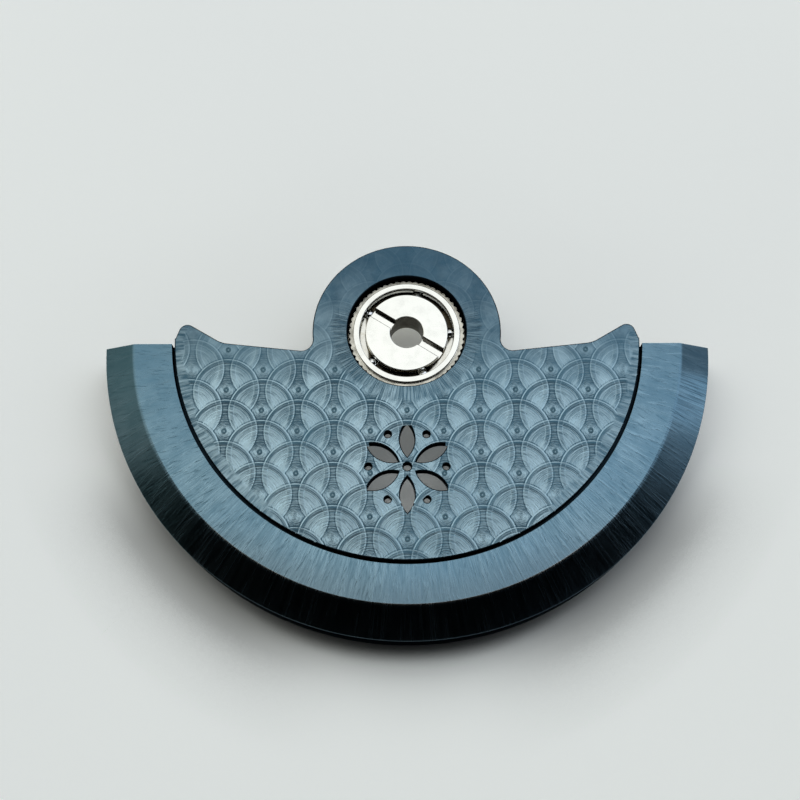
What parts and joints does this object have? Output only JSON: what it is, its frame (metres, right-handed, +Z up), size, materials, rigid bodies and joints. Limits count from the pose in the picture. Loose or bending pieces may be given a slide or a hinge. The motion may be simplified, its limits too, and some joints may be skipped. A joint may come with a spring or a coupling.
{
  "type": "automatic watch rotor",
  "caption": "Self-winding watch rotor: heavy half-round rim on a pierced carrier plate, with ball bearing, driving gear and centre screw hole.",
  "frame": {"origin": "on the spin axis, level with the foot of the bearing's inner race; the rim's underside is 0.8 mm lower", "axes": "+Z up along the spin axis and the centre screw hole, +X along the straight ends of the rim, the weight hangs towards -Y"},
  "size_m": [0.0264, 0.0173, 0.0023],
  "materials": {
    "blued_plate": "blue coated steel, engraved and brushed",
    "blued_rim": "blue coated heavy metal, radially brushed",
    "rivet_steel": "turned steel",
    "bearing_steel": "polished and lapped steel",
    "gear_steel": "cut and lightly brushed steel",
    "cage_brass": "turned brass",
    "ball_steel": "polished steel"
  },
  "bodies": {
    "inner_race": {"inner_race_core": "bearing_steel", "inner_race_cone": "bearing_steel"},
    "rotor": {"rotor_plate": "blued_plate", "rim_weight": "blued_rim", "weight_rivet_1": "rivet_steel", "weight_rivet_2": "rivet_steel", "weight_rivet_3": "rivet_steel", "weight_rivet_4": "rivet_steel", "weight_rivet_5": "rivet_steel", "weight_rivet_6": "rivet_steel", "outer_race": "bearing_steel", "drive_gear": "gear_steel"},
    "cage": {"ball_cage": "cage_brass"},
    "ball_a": {"ball_1": "ball_steel"},
    "ball_b": {"ball_2": "ball_steel"},
    "ball_c": {"ball_3": "ball_steel"},
    "ball_d": {"ball_4": "ball_steel"},
    "ball_e": {"ball_5": "ball_steel"}
  },
  "joints": [
    {"name": "rotor_spin", "type": "hinge", "parent": "inner_race", "child": "rotor", "pos_m": [0, 0, 0], "axis": [0, 0, 1], "continuous": true},
    {"name": "cage_spin", "type": "hinge", "parent": "inner_race", "child": "cage", "pos_m": [0, 0, 0], "axis": [0, 0, 1], "continuous": true},
    {"name": "ball_a_spin", "type": "hinge", "parent": "cage", "child": "ball_a", "pos_m": [0.00193, 0.00013, 0.0007], "axis": [0, 0, 1], "continuous": true},
    {"name": "ball_b_spin", "type": "hinge", "parent": "cage", "child": "ball_b", "pos_m": [0.00047, 0.00187, 0.0007], "axis": [0, 0, 1], "continuous": true},
    {"name": "ball_c_spin", "type": "hinge", "parent": "cage", "child": "ball_c", "pos_m": [-0.00164, 0.00102, 0.0007], "axis": [0, 0, 1], "continuous": true},
    {"name": "ball_d_spin", "type": "hinge", "parent": "cage", "child": "ball_d", "pos_m": [-0.00148, -0.00124, 0.0007], "axis": [0, 0, 1], "continuous": true},
    {"name": "ball_e_spin", "type": "hinge", "parent": "cage", "child": "ball_e", "pos_m": [0.00072, -0.00179, 0.0007], "axis": [0, 0, 1], "continuous": true}
  ],
  "couplings": [
    {"joint": "cage_spin", "follows": "rotor_spin", "ratio": 0.46787},
    {"joint": "ball_a_spin", "follows": "rotor_spin", "ratio": 4.6402},
    {"joint": "ball_b_spin", "follows": "rotor_spin", "ratio": 4.6402},
    {"joint": "ball_c_spin", "follows": "rotor_spin", "ratio": 4.6402},
    {"joint": "ball_d_spin", "follows": "rotor_spin", "ratio": 4.6402},
    {"joint": "ball_e_spin", "follows": "rotor_spin", "ratio": 4.6402}
  ]
}
